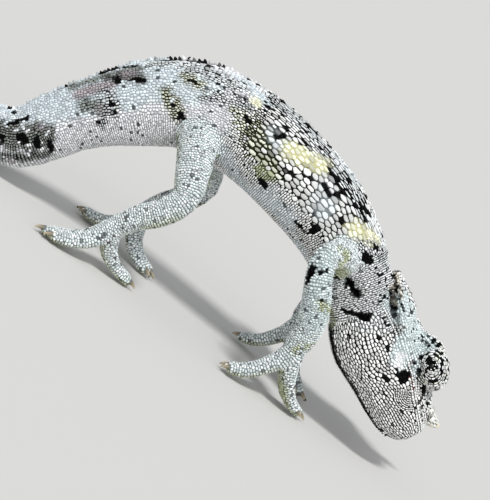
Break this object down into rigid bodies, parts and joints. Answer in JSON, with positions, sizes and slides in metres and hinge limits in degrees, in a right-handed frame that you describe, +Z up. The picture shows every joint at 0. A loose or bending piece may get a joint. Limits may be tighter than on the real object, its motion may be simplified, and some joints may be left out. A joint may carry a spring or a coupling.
{
  "type": "mellers chameleon",
  "caption": "Still, life-size model of a young Meller's chameleon standing with an arched back, its head hung low and turned, and its tail laid on the floor.",
  "frame": {"origin": "on the floor, under the middle of the model's footprint", "axes": "+X from the tail to the head, +Z up, the animal's right side towards -Y"},
  "size_m": [0.0938, 0.0378, 0.0355],
  "materials": {
    "skin": "matt, scaled",
    "eye": "gloss",
    "horn": "satin"
  },
  "bodies": {
    "root": {"eye_left": "eye", "eye_right": "eye", "eye_turret_left": "skin", "eye_turret_right": "skin", "foreleg_left_inner_toes": "skin", "foreleg_left_lower": "skin", "foreleg_left_outer_toes": "skin", "foreleg_left_upper": "skin", "foreleg_right_inner_toes": "skin", "foreleg_right_lower": "skin", "foreleg_right_outer_toes": "skin", "foreleg_right_upper": "skin", "head": "skin", "hindleg_left_inner_toes": "skin", "hindleg_left_lower": "skin", "hindleg_left_outer_toes": "skin", "hindleg_left_upper": "skin", "hindleg_right_inner_toes": "skin", "hindleg_right_lower": "skin", "hindleg_right_outer_toes": "skin", "hindleg_right_upper": "skin", "horn": "horn", "lower_jaw": "skin", "neck": "skin", "occipital_lobe_left": "skin", "occipital_lobe_right": "skin", "tail_base": "skin", "tail_middle_1": "skin", "tail_middle_2": "skin", "tail_tip": "skin", "torso": "skin"}
  },
  "joints": []
}
